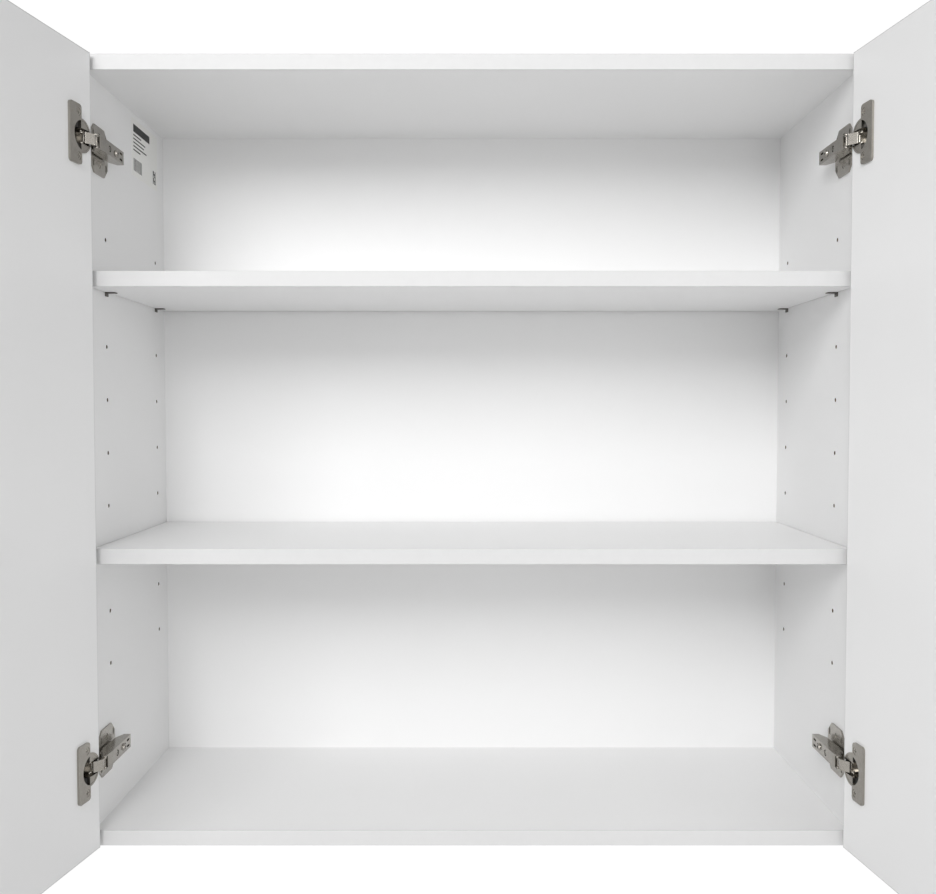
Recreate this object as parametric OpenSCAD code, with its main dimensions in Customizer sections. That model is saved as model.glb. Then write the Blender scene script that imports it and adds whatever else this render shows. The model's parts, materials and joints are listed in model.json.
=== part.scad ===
// Two-door hanging wall cabinet with adjustable shelves and concealed cup hinges.
// Millimetres, +Z up, the front faces -Y. The origin is the centre of the wall face
// of the upper hanging rail. The doors are drawn open, as the cabinet is shown.

/* [Carcass] */
// Overall width
cabinet_w = 915; // [600:1:1200]
// Overall height
cabinet_h = 912; // [720:1:1200]
// Depth of the carcass, without the doors
cabinet_d = 305; // [250:1:450]
// Thickness of the carcass boards and shelves
board_t = 18; // [17:0.5:22]
// Thickness of the edge banding
band_t = 1.5; // [0.8:0.1:2]
// Butt joint left between two edge bands of a door
band_joint = 0.1; // [0.05:0.05:0.3]
// Thickness of the back panel
back_t = 3.2; // [2.5:0.1:6]
// Depth of the grooves that hold the back panel
groove_depth = 6; // [3:0.5:8]
// Play of the back panel in its grooves, on each side
back_play = 0.5; // [0.2:0.1:1]
// Thickness of the hanging rails behind the back panel
rail_t = 12.7; // [9:0.1:18]
// Height of the hanging rails
rail_h = 80; // [50:1:120]

/* [Shelves] */
// Gap between a shelf and each side panel
shelf_gap = 1; // [0.5:0.1:2]
// Set-back of the shelves from the carcass front
shelf_setback = 2; // [0:0.5:20]
// Gap between the shelves and the back panel
shelf_back_gap = 3; // [1:0.5:20]
// Diameter of the shelf support holes
pin_d = 5; // [4:0.5:7]
// Depth of the shelf support holes
pin_hole_depth = 12; // [8:0.5:13]
// Distance between two holes of a column
pin_pitch = 64; // [32:32:96]
// Number of holes in a column
pin_rows = 9; // [5:1:11]
// Distance of the front column behind the carcass front
pin_front = 60; // [50:1:80]
// Distance of the rear column from the carcass rear
pin_rear = 55; // [40:1:80]
// Hole that carries the upper shelf, counted from the top
upper_shelf_row = 2; // [1:1:4]
// Hole that carries the lower shelf, counted from the top
lower_shelf_row = 7; // [5:1:9]

/* [Doors] */
// Thickness of the doors
door_t = 18; // [16:0.5:22]
// Gap between a closed door and the carcass
door_gap = 2; // [1.8:0.1:3]
// Width of the side panel's front edge that a closed door covers
door_overlay = 17; // [14:0.5:19]
// Gap between the two closed doors
centre_gap = 3; // [2:0.5:6]
// Set-in of the doors at the top and the bottom
door_end_gap = 1.5; // [0:0.5:4]
// Opening angle of the left door as drawn
left_open = 100; // [80:1:104]
// Opening angle of the right door as drawn
right_open = 98; // [80:1:104]

/* [Hinges] */
// Distance of the hinges from the top and the bottom of the cabinet
hinge_inset = 100; // [80:1:160]
// Diameter of the hinge cup
cup_d = 35; // [35:1:40]
// Depth of the hinge cup in the door
cup_depth = 13; // [12.6:0.1:14]
// Distance from the door edge to the cup bore
cup_edge = 3.5; // [3:0.5:4]
// Thickness of the cup flange
flange_t = 2.6; // [1.5:0.1:3]
// Length of the cup flange
flange_l = 66; // [60:1:70]
// Distance between the two cup screws
cup_screw_pitch = 48; // [45:1:52]
// Distance of the mounting plate screws behind the carcass front
plate_front = 37; // [37:1:40]
// Distance between the mounting plate screws
plate_screw_pitch = 32; // [32:1:36]
// Height of the mounting plate
plate_h = 56; // [54:1:64]
// Width of the hinge arm
arm_w = 15.6; // [15:0.1:17]
// Thickness of the hinge sheet steel
sheet_t = 1.2; // [1:0.1:1.4]
// Running clearance of the hinge pins
pin_play = 0.05; // [0.03:0.01:0.1]
// Side play between neighbouring hinge pieces
link_play = 0.3; // [0.2:0.05:0.4]

/* [Wall fixing] */
// Distance between the two hanging eyes
eye_spacing = 600; // [400:1:760]
// Diameter of the hanging eyes
eye_d = 9; // [6:0.5:12]

/* [Hidden] */
$fn = 64;

// ---- Main levels and spans -------------------------------------------------
inner_w = cabinet_w - 2 * board_t;
top_z = board_t + rail_h / 2;
bottom_z = top_z - cabinet_h;
front_y = -cabinet_d;
core_front_y = front_y + band_t;
back_front_y = -rail_t - back_t;
shelf_d = -shelf_back_gap + back_front_y - front_y - shelf_setback;
first_pin_drop = (cabinet_h - (pin_rows - 1) * pin_pitch) / 2;
pin_columns = [front_y + pin_front, -pin_rear];

// ---- Doors -----------------------------------------------------------------
door_w = inner_w / 2 + door_overlay - centre_gap / 2;
door_h = cabinet_h - 2 * door_end_gap;

// ---- Shelf supports --------------------------------------------------------
support_reach = 12;
support_w = 9;
support_t = 1.2;
support_tab_h = 5;
support_shank = 9;
support_top = pin_d / 4;

// ---- Joinery ---------------------------------------------------------------
dowel_d = 8;
dowel_side_depth = 11;
dowel_panel_depth = 20;
cam_d = 15;
cam_h = 13;
cam_setback = 34;
cam_bolt_d = 7;
bolt_shank_d = 6;
bolt_side_depth = 11;
joint_dowel_y = [front_y + 30, -30];
joint_cam_y = [front_y + 62, -62];

// ---- Hanging plates --------------------------------------------------------
plate_steel_t = 2;
hanging_plate_w = 60;
hanging_plate_h = 34;
hanging_screw_offset = 21;
hanging_screw_d = 4;
hanging_screw_l = 10;
hook_pocket = 22;
hook_pocket_depth = 9;

// ---- Hinge linkage, in hinge coordinates -----------------------------------
// X runs from the side panel's inner face to the middle, Y from the carcass
// front into the cabinet, and the hinge centre is at Z 0. U runs along the door
// from its hinge edge, W from the door's inner face into the door.
cup_centre_u = cup_edge + cup_d / 2;
arm_shift = 17 - door_overlay;
inner_pivot = [8 + arm_shift, 8];
outer_pivot = [14.5 + arm_shift, -4.5];
cup_inner_pin = [cup_centre_u - 13.4, 5];
cup_stud = [cup_centre_u - 8.8, 5.5];
// Turn of each link for one degree of door opening
inner_link_share = 0.38;
outer_link_share = 0.40;
// Reference opening at which the link shapes are given
design_open = 100;
// The outer link's open fork, which is the linkage's open pivot, leads its pin
fork_lead = 2.5;
fork_reach = 19.14;
fork_r_in = 2.35;
fork_r_out = 3.05;
fork_span = 150;
pivot_pin_d = 2;

cup_wall = 0.9;
cup_floor = 0.8;
cup_flange_d = cup_d + 3;
cup_rim_t = door_gap - 0.6;
cup_notch_w = 13.6;
cup_boss_z = 8.4;
cup_boss_u = cup_centre_u + 1;
flange_near_u = cup_centre_u + 2;
flange_far_u = cup_centre_u + 25;
flange_corner_r = 4;
cup_screw_u = cup_centre_u + 8;
cup_screw_d = 3.5;
cup_screw_head_d = 7.6;
cup_screw_l = 12;
// Depth of the ring in which a countersunk screw head sits
head_recess = 0.4;
cup_head_h = flange_t - head_recess - 0.4;

arm_top_x = 18.2 + arm_shift;
arm_foot_x = 4.2 + arm_shift;
arm_rear_y = plate_front + 37;
arm_inner_w = arm_w - 2 * sheet_t;
outer_link_w = arm_inner_w - 2 * link_play;
inner_link_w = outer_link_w - 2 * sheet_t - 2 * link_play;
inner_link_t = 1.6;
cup_stud_z = inner_link_w / 2 + 0.25;

plate_t = 2;
plate_near_y = plate_front - 25;
plate_far_y = plate_front + 28;
plate_chamfer = 11;
plate_screw_d = 5;
plate_screw_head_d = 8.2;
plate_screw_l = 13;
block_w = arm_inner_w - 2 * link_play;
block_top_x = 14.5;
block_near_y = plate_front - 15;
block_far_y = plate_front + 15;
fixing_screw_y = plate_front + 12;
fixing_screw_d = 6;
fixing_head_d = 9;
side_screw_y = plate_front - 9;
side_screw_d = 5;

bumper_d = 9;
bumper_inset = 30;

// ---- Colours ---------------------------------------------------------------
white_board = [0.93, 0.93, 0.93];
white_edge = [0.97, 0.97, 0.97];
nickel = [0.62, 0.60, 0.57];
zinc = [0.78, 0.78, 0.80];
black = [0.08, 0.08, 0.08];
beech = [0.80, 0.68, 0.50];
particle = [0.74, 0.63, 0.47];

// ---- Helpers ---------------------------------------------------------------
function rotated(p, a) = [p[0] * cos(a) - p[1] * sin(a), p[0] * sin(a) + p[1] * cos(a)];
// Closed position of a point given as [u, w]
function door_point(p) = [-door_overlay + p[0], -door_gap - p[1]];
// Position of the cup's inner pin when the door is open by the angle a
function inner_pin_at(a) =
    inner_pivot + rotated(door_point(cup_inner_pin) - inner_pivot, inner_link_share * a);
// Position of a door point [u, w] when the door is open by the angle a
function opened(p, a) =
    inner_pin_at(a) + rotated(door_point(p) - door_point(cup_inner_pin), -a);

module mirrored_copy() {
    children();
    mirror([1, 0, 0]) children();
}

// Hinge coordinates of one side, at a height above the origin
module at_hinge(side, z) {
    mirror([side < 0 ? 0 : 1, 0, 0]) translate([-inner_w / 2, front_y, z]) children();
}

module at_upper_hinge(side) {
    at_hinge(side, top_z - hinge_inset) children();
}

module at_lower_hinge(side) {
    at_hinge(side, bottom_z + hinge_inset) children();
}

function open_angle(side) = side < 0 ? left_open : right_open;

// Moves what is drawn on the closed door to the door's drawn opening
module door_opened(side) {
    a = open_angle(side);
    pin = inner_pin_at(a);
    closed_pin = door_point(cup_inner_pin);
    translate([pin[0], pin[1], 0])
        rotate([0, 0, -a])
            translate([-closed_pin[0], -closed_pin[1], 0]) children();
}

// Turns a link from its design position to the door's drawn opening
module link_turned(side, pivot, share) {
    translate([pivot[0], pivot[1], 0])
        rotate([0, 0, share * (open_angle(side) - design_open)])
            translate([-pivot[0], -pivot[1], 0]) children();
}

// Door coordinates U, W and Z on the closed door
module on_closed_door() {
    translate([-door_overlay, -door_gap, 0]) rotate([90, 0, 0]) children();
}

module bar_2d(p, q, w) {
    d = q - p;
    translate(p) rotate([0, 0, atan2(d[1], d[0])]) translate([0, -w / 2]) square([norm(d), w]);
    translate(p) circle(d = w);
    translate(q) circle(d = w);
}

module path_2d(points, w) {
    for (i = [0 : len(points) - 2]) bar_2d(points[i], points[i + 1], w);
}

module rounded_rect_2d(size, r) {
    translate([r, 0]) square([size[0] - 2 * r, size[1]]);
    translate([0, r]) square([size[0], size[1] - 2 * r]);
    for (x = [r, size[0] - r], y = [r, size[1] - r]) translate([x, y]) circle(r);
}

// Section of an edge band: glued side at Y 0, rounded corners at Y -t
module band_2d(w, t) {
    r = 0.6 * t;
    translate([0, r - t]) square([w, t - r]);
    translate([r, -t]) square([w - 2 * r, t]);
    intersection() {
        translate([0, -t]) square([w, t]);
        union() {
            translate([r, r - t]) circle(r);
            translate([w - r, r - t]) circle(r);
        }
    }
}

// ---- Carcass ---------------------------------------------------------------
module pin_holes() {
    for (y = pin_columns, k = [0 : pin_rows - 1])
        translate([-1, y, top_z - first_pin_drop - k * pin_pitch])
            rotate([0, 90, 0]) cylinder(d = pin_d, h = pin_hole_depth + 1);
}

// Joinery and hinge holes bored from the inner face, X 0, into the side panel
module side_bores() {
    for (z = [top_z - board_t / 2, bottom_z + board_t / 2]) {
        for (y = joint_dowel_y)
            translate([-1, y, z]) rotate([0, 90, 0])
                cylinder(d = dowel_d, h = dowel_side_depth + 1);
        for (y = joint_cam_y)
            translate([-1, y, z]) rotate([0, 90, 0])
                cylinder(d = bolt_shank_d, h = bolt_side_depth + 1);
    }
    for (z = [top_z - hinge_inset, bottom_z + hinge_inset], s = [-1, 1])
        translate([-1, front_y + plate_front, z + s * plate_screw_pitch / 2])
            rotate([0, 90, 0]) cylinder(d = plate_screw_d, h = plate_screw_l - plate_t + 1);
}

module side_panel() {
    difference() {
        translate([0, core_front_y, bottom_z]) cube([board_t, cabinet_d - band_t, cabinet_h]);
        translate([-1, -rail_t - back_t, bottom_z + board_t - groove_depth])
            cube([groove_depth + 1, back_t, cabinet_h - 2 * board_t + 2 * groove_depth]);
        pin_holes();
        side_bores();
    }
}

module left_side_panel() {
    color(white_board) translate([-inner_w / 2, 0, 0]) mirror([1, 0, 0]) side_panel();
}

module right_side_panel() {
    color(white_board) translate([inner_w / 2, 0, 0]) side_panel();
}

// Cam pocket and bolt and dowel bores at one end of a top or bottom panel.
// The end is at X 0, the panel runs to +X, and the pocket opens upwards.
module panel_end_bores() {
    for (y = joint_dowel_y)
        translate([-1, y, board_t / 2]) rotate([0, 90, 0])
            cylinder(d = dowel_d, h = dowel_panel_depth + 1);
    for (y = joint_cam_y) {
        translate([-1, y, board_t / 2]) rotate([0, 90, 0])
            cylinder(d = cam_bolt_d, h = cam_setback + 4);
        translate([cam_setback, y, board_t - cam_h]) cylinder(d = cam_d, h = cam_h + 1);
    }
}

// A top panel with its underside at Z 0
module cross_panel() {
    difference() {
        translate([-inner_w / 2, core_front_y, 0]) cube([inner_w, cabinet_d - band_t, board_t]);
        translate([-inner_w / 2 - 1, -rail_t - back_t, -1])
            cube([inner_w + 2, back_t, groove_depth + 1]);
        mirrored_copy() translate([-inner_w / 2, 0, 0]) panel_end_bores();
    }
}

module top_panel() {
    color(white_board) translate([0, 0, top_z - board_t]) cross_panel();
}

module bottom_panel() {
    color(white_board) translate([0, 0, bottom_z + board_t]) mirror([0, 0, 1]) cross_panel();
}

module back_panel() {
    reach = groove_depth - back_play;
    color(white_board)
        translate([-inner_w / 2 - reach, -rail_t - back_t, bottom_z + board_t - reach])
            cube([inner_w + 2 * reach, back_t, cabinet_h - 2 * board_t + 2 * reach]);
}

// Places of the two hanging eyes along the rail
eye_xs = [-eye_spacing / 2, eye_spacing / 2];

module upper_hanging_rail() {
    color(particle)
        difference() {
            translate([-inner_w / 2, -rail_t, -rail_h / 2]) cube([inner_w, rail_t, rail_h]);
            for (x = eye_xs) {
                translate([x - hanging_plate_w / 2, -plate_steel_t, -hanging_plate_h / 2])
                    cube([hanging_plate_w, plate_steel_t + 1, hanging_plate_h]);
                translate([x - hook_pocket / 2, -hook_pocket_depth, -hook_pocket / 2])
                    cube([hook_pocket, hook_pocket_depth + 1, hook_pocket]);
                for (s = [-1, 1])
                    translate([x + s * hanging_screw_offset, 1, 0])
                        rotate([90, 0, 0]) cylinder(d = hanging_screw_d, h = hanging_screw_l + 1);
            }
        }
}

module lower_hanging_rail() {
    color(particle)
        translate([-inner_w / 2, -rail_t, bottom_z + board_t]) cube([inner_w, rail_t, rail_h]);
}

module hanging_plates() {
    color(zinc)
        for (x = eye_xs)
            translate([x, 0, 0])
                difference() {
                    translate([-hanging_plate_w / 2, 0, -hanging_plate_h / 2]) rotate([90, 0, 0])
                        linear_extrude(plate_steel_t)
                            rounded_rect_2d([hanging_plate_w, hanging_plate_h], 3);
                    translate([0, 1, 0]) rotate([90, 0, 0]) cylinder(d = eye_d, h = plate_steel_t + 2);
                    for (s = [-1, 1])
                        translate([s * hanging_screw_offset, 0, 0]) rotate([90, 0, 0])
                            cylinder(d1 = 2 * hanging_screw_d, d2 = hanging_screw_d, h = plate_steel_t);
                }
}

module hanging_plate_screws() {
    color(zinc)
        for (x = eye_xs, s = [-1, 1])
            translate([x + s * hanging_screw_offset, 0, 0]) rotate([90, 0, 0]) {
                cylinder(d1 = 2 * hanging_screw_d, d2 = hanging_screw_d, h = plate_steel_t);
                cylinder(d = hanging_screw_d, h = hanging_screw_l);
            }
}

module side_edge_band(x) {
    color(white_edge)
        translate([x, core_front_y, bottom_z]) linear_extrude(cabinet_h) band_2d(board_t, band_t);
}

module cross_edge_band(z) {
    color(white_edge)
        translate([-inner_w / 2, core_front_y, z])
            rotate([90, 0, 90]) linear_extrude(inner_w) mirror([1, -1, 0]) band_2d(board_t, band_t);
}

module left_side_edge_band() {
    side_edge_band(-cabinet_w / 2);
}

module right_side_edge_band() {
    side_edge_band(inner_w / 2);
}

module top_edge_band() {
    cross_edge_band(top_z - board_t);
}

module bottom_edge_band() {
    cross_edge_band(bottom_z);
}

module carcass_dowels() {
    play = 1;
    color(beech)
        mirrored_copy()
            for (z = [top_z - board_t / 2, bottom_z + board_t / 2], y = joint_dowel_y)
                translate([-inner_w / 2 - dowel_side_depth + play, y, z]) rotate([0, 90, 0])
                    cylinder(d = dowel_d, h = dowel_side_depth + dowel_panel_depth - 2 * play);
}

// Cam with its slot for the bolt's head, standing on Z 0
module cam_lock() {
    head_l = 8;
    difference() {
        cylinder(d = cam_d, h = cam_h);
        translate([-cam_d, -cam_bolt_d / 2, -1])
            cube([cam_d + head_l / 2, cam_bolt_d, cam_h + 4.5 - board_t / 2]);
        translate([-cam_d / 3, -1, cam_h - 2]) cube([2 * cam_d / 3, 2, 3]);
        translate([-1, -cam_d / 3, cam_h - 2]) cube([2, 2 * cam_d / 3, 3]);
    }
}

module cam_locks() {
    color(zinc)
        mirrored_copy()
            for (y = joint_cam_y) {
                translate([-inner_w / 2 + cam_setback, y, top_z - cam_h]) cam_lock();
                translate([-inner_w / 2 + cam_setback, y, bottom_z + cam_h])
                    mirror([0, 0, 1]) cam_lock();
            }
}

module cam_bolts() {
    color(zinc)
        mirrored_copy()
            for (z = [top_z - board_t / 2, bottom_z + board_t / 2], y = joint_cam_y)
                translate([-inner_w / 2, y, z]) rotate([0, 90, 0]) {
                    translate([0, 0, -bolt_side_depth]) cylinder(d = bolt_shank_d, h = bolt_side_depth);
                    cylinder(d = 4, h = cam_setback + 1);
                    cylinder(d = cam_bolt_d - 0.4, h = 3);
                    translate([0, 0, cam_setback - 2]) cylinder(d = cam_bolt_d - 0.4, h = 4);
                }
}

// ---- Shelves ---------------------------------------------------------------
function shelf_bottom(row) = top_z - first_pin_drop - (row - 1) * pin_pitch + support_top;

module shelf_board(row) {
    w = inner_w - 2 * shelf_gap;
    translate([-w / 2, front_y + shelf_setback + band_t, shelf_bottom(row)])
        cube([w, shelf_d - band_t, board_t]);
}

module shelf_band(row) {
    w = inner_w - 2 * shelf_gap;
    translate([-w / 2, front_y + shelf_setback + band_t, shelf_bottom(row)])
        rotate([90, 0, 90]) linear_extrude(w) mirror([1, -1, 0]) band_2d(board_t, band_t);
}

module upper_shelf() {
    color(white_board) shelf_board(upper_shelf_row);
}

module lower_shelf() {
    color(white_board) shelf_board(lower_shelf_row);
}

module upper_shelf_edge_band() {
    color(white_edge) shelf_band(upper_shelf_row);
}

module lower_shelf_edge_band() {
    color(white_edge) shelf_band(lower_shelf_row);
}

// One support: a pin in the hole, a tongue under the shelf and a tab on the wall
module shelf_support() {
    translate([-support_shank, 0, 0]) rotate([0, 90, 0]) cylinder(d = pin_d, h = support_shank);
    translate([0, -support_w / 2, support_top - support_t])
        cube([support_reach, support_w, support_t]);
    translate([0, -support_w / 2, support_top - support_tab_h])
        cube([support_t, support_w, support_tab_h]);
}

module shelf_supports(row) {
    color(nickel)
        mirrored_copy()
            for (y = pin_columns)
                translate([-inner_w / 2, y, top_z - first_pin_drop - (row - 1) * pin_pitch])
                    shelf_support();
}

module upper_shelf_supports() {
    shelf_supports(upper_shelf_row);
}

module lower_shelf_supports() {
    shelf_supports(lower_shelf_row);
}

module blank_label() {
    color([0.96, 0.96, 0.95])
        translate([-inner_w / 2, front_y + 157, top_z - 99]) cube([0.2, 105, 74]);
}

// ---- Hinge pieces on the carcass -------------------------------------------
module hinge_plate_outline() {
    h = plate_h / 2;
    c = plate_chamfer;
    polygon([
        [plate_near_y, -h + c], [plate_near_y + c, -h], [plate_far_y - c, -h], [plate_far_y, -h + c],
        [plate_far_y, h - c], [plate_far_y - c, h], [plate_near_y + c, h], [plate_near_y, h - c]
    ]);
}

module hinge_plate() {
    color(nickel)
        difference() {
            union() {
                rotate([90, 0, 90]) linear_extrude(plate_t) hinge_plate_outline();
                translate([plate_t, block_near_y, -block_w / 2])
                    cube([block_top_x - plate_t, block_far_y - block_near_y, block_w]);
            }
            for (s = [-1, 1])
                translate([0, plate_front, s * plate_screw_pitch / 2]) rotate([0, 90, 0]) {
                    translate([0, 0, -1]) cylinder(d = plate_screw_d, h = plate_t + 2);
                    translate([0, 0, plate_t - head_recess - 1])
                        cylinder(d1 = plate_screw_d, d2 = plate_screw_head_d, h = 1);
                    translate([0, 0, plate_t - head_recess])
                        cylinder(d = plate_screw_head_d + 1.2, h = head_recess + 1);
                }
            for (s = [-1, 1], y = [plate_near_y + 7, plate_far_y - 6])
                translate([-1, y, s * 0.3 * plate_h]) rotate([90, 0, 90])
                    linear_extrude(plate_t + 2) bar_2d([0, -2.5], [0, 2.5], 4);
            translate([block_top_x - 9, fixing_screw_y, 0]) rotate([0, 90, 0])
                cylinder(d = fixing_screw_d, h = 20);
            translate([block_top_x - 5, side_screw_y, 0]) rotate([0, 90, 0])
                cylinder(d = side_screw_d, h = 20);
        }
}

// Sloping front edge of the hinge arm's cheeks, in X and Y
arm_edge_front = outer_pivot + [2.1, 1];
arm_edge_rear = [arm_top_x, 12];

// Side view of the hinge arm's cheeks, in X and Y
module arm_cheek_2d() {
    ear_r = 2.7;
    bar_2d(outer_pivot, inner_pivot + [2, 2], 2 * ear_r);
    translate(inner_pivot) circle(3.4);
    polygon([
        arm_edge_front, arm_edge_rear,
        [arm_top_x, arm_rear_y], [arm_foot_x + 6, arm_rear_y], [arm_foot_x, arm_rear_y - 14],
        [arm_foot_x, plate_front], [inner_pivot[0] - 3.4, inner_pivot[1] + 2], inner_pivot
    ]);
}

// Front part of the arm's web, along the sloping edge of the cheeks
module arm_front_web_2d() {
    front = arm_edge_front + 0.2 * (arm_edge_rear - arm_edge_front);
    polygon([front, arm_edge_rear, arm_edge_rear - [sheet_t, 0], front - [sheet_t, 0]]);
}

module hinge_arm() {
    slot_l = 9;
    color(nickel)
        difference() {
            union() {
                for (s = [-1, 1])
                    translate([0, 0, s * (arm_w - sheet_t) / 2 - sheet_t / 2])
                        linear_extrude(sheet_t) arm_cheek_2d();
                translate([0, 0, -arm_w / 2]) linear_extrude(arm_w) arm_front_web_2d();
                translate([arm_top_x - sheet_t, 12, -arm_w / 2]) cube([sheet_t, arm_rear_y - 12, arm_w]);
                translate([arm_foot_x + 6, arm_rear_y - sheet_t, -arm_w / 2])
                    cube([arm_top_x - arm_foot_x - 6, sheet_t, arm_w]);
            }
            for (p = [inner_pivot, outer_pivot])
                translate([p[0], p[1], -arm_w]) cylinder(d = pivot_pin_d, h = 2 * arm_w);
            translate([arm_top_x - 5, fixing_screw_y, 0]) rotate([90, 0, 90])
                linear_extrude(10) bar_2d([-slot_l / 4, 0], [slot_l / 2, 0], fixing_screw_d + 0.6);
            translate([arm_top_x - 5, side_screw_y, 0]) rotate([0, 90, 0])
                cylinder(d = side_screw_d + 2.4, h = 10);
            for (z = [-3.6, 3.6])
                translate([arm_top_x - 5, arm_rear_y - 10, z]) rotate([90, 0, 90])
                    linear_extrude(10) bar_2d([-2.5, 0], [4, 0], 2.4);
        }
}

module cross_recess(d, depth) {
    for (a = [0, 90])
        rotate([0, 0, a]) translate([-d / 2, -d / 10, -depth]) cube([d, d / 5, depth + 1]);
}

// Countersunk screw with its head's face at Z 0, running to -Z
module countersunk_screw(head_d, d, l, head_h) {
    difference() {
        union() {
            translate([0, 0, -head_h]) cylinder(d1 = d, d2 = head_d, h = head_h);
            translate([0, 0, -l]) cylinder(d = d, h = l - head_h / 2);
        }
        cross_recess(head_d * 0.66, head_h * 0.45);
    }
}

module each_hinge() {
    for (side = [-1, 1]) {
        at_upper_hinge(side) children();
        at_lower_hinge(side) children();
    }
}

module hinge_plate_screws() {
    color(nickel)
        each_hinge()
            for (s = [-1, 1])
                translate([plate_t - head_recess, plate_front, s * plate_screw_pitch / 2])
                    rotate([0, 90, 0]) countersunk_screw(
                        plate_screw_head_d, plate_screw_d, plate_screw_l - head_recess, 1
                    );
}

module hinge_fixing_screws() {
    color(nickel)
        each_hinge()
            translate([arm_top_x, fixing_screw_y, 0]) rotate([0, 90, 0])
                difference() {
                    union() {
                        cylinder(d1 = fixing_head_d, d2 = fixing_head_d - 2, h = 2);
                        translate([0, 0, block_top_x - arm_top_x - 8])
                            cylinder(d = fixing_screw_d, h = arm_top_x - block_top_x + 9);
                    }
                    translate([0, 0, 2]) cross_recess(5.5, 1.4);
                }
}

module hinge_side_screws() {
    color(nickel)
        each_hinge()
            translate([arm_top_x - 0.4, side_screw_y, 0]) rotate([0, 90, 0])
                difference() {
                    translate([0, 0, block_top_x - arm_top_x - 4])
                        cylinder(d = side_screw_d, h = arm_top_x - block_top_x + 4);
                    cross_recess(3.4, 1.2);
                }
}

module hinge_arm_pins() {
    color(nickel)
        each_hinge()
            for (p = [inner_pivot, outer_pivot])
                translate([p[0], p[1], -arm_w / 2]) cylinder(d = pivot_pin_d, h = arm_w);
}

// ---- Hinge links -----------------------------------------------------------
// Both links are shaped at the design opening and turn about their arm pivots.
module inner_link() {
    path = [
        inner_pivot, opened([-0.5, -2.4], design_open), opened([6.2, -2.2], design_open),
        opened(cup_inner_pin, design_open)
    ];
    eye_d = pivot_pin_d + 2 * pin_play;
    color(nickel)
        translate([0, 0, -inner_link_w / 2])
            linear_extrude(inner_link_w)
                difference() {
                    union() {
                        path_2d(path, inner_link_t);
                        translate(path[0]) circle(2.1);
                        translate(path[3]) circle(2.1);
                    }
                    translate(path[0]) circle(d = eye_d);
                    translate(path[3]) circle(d = eye_d);
                }
}

// Direction of the door point q seen from the door point p, at an opening
function heading(p, q, a) =
    let (d = opened(q, a) - opened(p, a)) atan2(d[1], d[0]);

// The open fork: part of a ring that bears on the pin from outside the door
module fork_2d(centre, facing) {
    r = (fork_r_in + fork_r_out) / 2;
    w = fork_r_out - fork_r_in;
    translate(centre) rotate([0, 0, facing]) {
        intersection() {
            difference() {
                circle(fork_r_out);
                circle(fork_r_in);
            }
            polygon([
                [0, 0], 9 * [cos(fork_span / 2), -sin(fork_span / 2)], [9, -9], [9, 9],
                9 * [cos(fork_span / 2), sin(fork_span / 2)]
            ]);
        }
        for (s = [-1, 1]) rotate([0, 0, s * fork_span / 2]) translate([r, 0]) circle(d = w);
    }
}

module outer_link() {
    shoulder = opened([3.5, -6.2], design_open);
    tip = opened([12.9, -0.4], design_open);
    to_pin = opened(cup_stud, design_open) - outer_pivot;
    fork = outer_pivot + rotated(to_pin * fork_reach / norm(to_pin), fork_lead);
    facing = heading([0, 0], [0, -1], design_open);
    w = outer_link_w;
    color(nickel) {
        translate([0, 0, -w / 2]) linear_extrude(w)
            path_2d([outer_pivot + (shoulder - outer_pivot) * 0.42, shoulder, tip], sheet_t);
        for (s = [-1, 1])
            translate([0, 0, s * (w - sheet_t) / 2 - sheet_t / 2]) linear_extrude(sheet_t) {
                difference() {
                    union() {
                        path_2d([outer_pivot, shoulder], sheet_t * 1.6);
                        path_2d([shoulder, tip], sheet_t);
                        translate(outer_pivot) circle(2.3);
                    }
                    translate(outer_pivot) circle(d = pivot_pin_d + 2 * pin_play);
                }
                bar_2d(tip, fork + rotated([(fork_r_in + fork_r_out) / 2, 0], facing), sheet_t);
                fork_2d(fork, facing);
            }
    }
}

// ---- Doors -----------------------------------------------------------------
module cup_bores() {
    for (z = [top_z - hinge_inset, bottom_z + hinge_inset])
        translate([0, 0, z]) on_closed_door() {
            translate([cup_centre_u, 0, -1]) cylinder(d = cup_d, h = cup_depth + 1);
            for (s = [-1, 1])
                translate([cup_screw_u, s * cup_screw_pitch / 2, -1])
                    cylinder(d = cup_screw_d, h = cup_screw_l - flange_t + 1);
        }
}

// The door leaf without its edge bands, closed, in hinge X and Y
module door_leaf() {
    door_z = bottom_z + door_end_gap;
    difference() {
        translate([-door_overlay + band_t, -door_gap - door_t, door_z + band_t])
            cube([door_w - 2 * band_t, door_t, door_h - 2 * band_t]);
        cup_bores();
    }
}

module door_bands() {
    door_z = bottom_z + door_end_gap;
    // upright bands, at the hinge edge and at the meeting edge
    translate([-door_overlay + band_t, -door_gap - door_t, door_z])
        linear_extrude(door_h) mirror([1, -1, 0]) band_2d(door_t, band_t);
    translate([-door_overlay + door_w - band_t, -door_gap - door_t, door_z])
        linear_extrude(door_h) rotate([0, 0, 90]) band_2d(door_t, band_t);
    // bottom and top bands between them
    cross_x = -door_overlay + band_t + band_joint;
    cross_w = door_w - 2 * band_t - 2 * band_joint;
    translate([cross_x, -door_gap - door_t, door_z + band_t])
        rotate([90, 0, 90]) linear_extrude(cross_w) band_2d(door_t, band_t);
    translate([cross_x, -door_gap - door_t, door_z + door_h - band_t])
        mirror([0, 0, 1]) rotate([90, 0, 90]) linear_extrude(cross_w) band_2d(door_t, band_t);
}

module at_door(side) {
    at_hinge(side, 0) door_opened(side) children();
}

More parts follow.
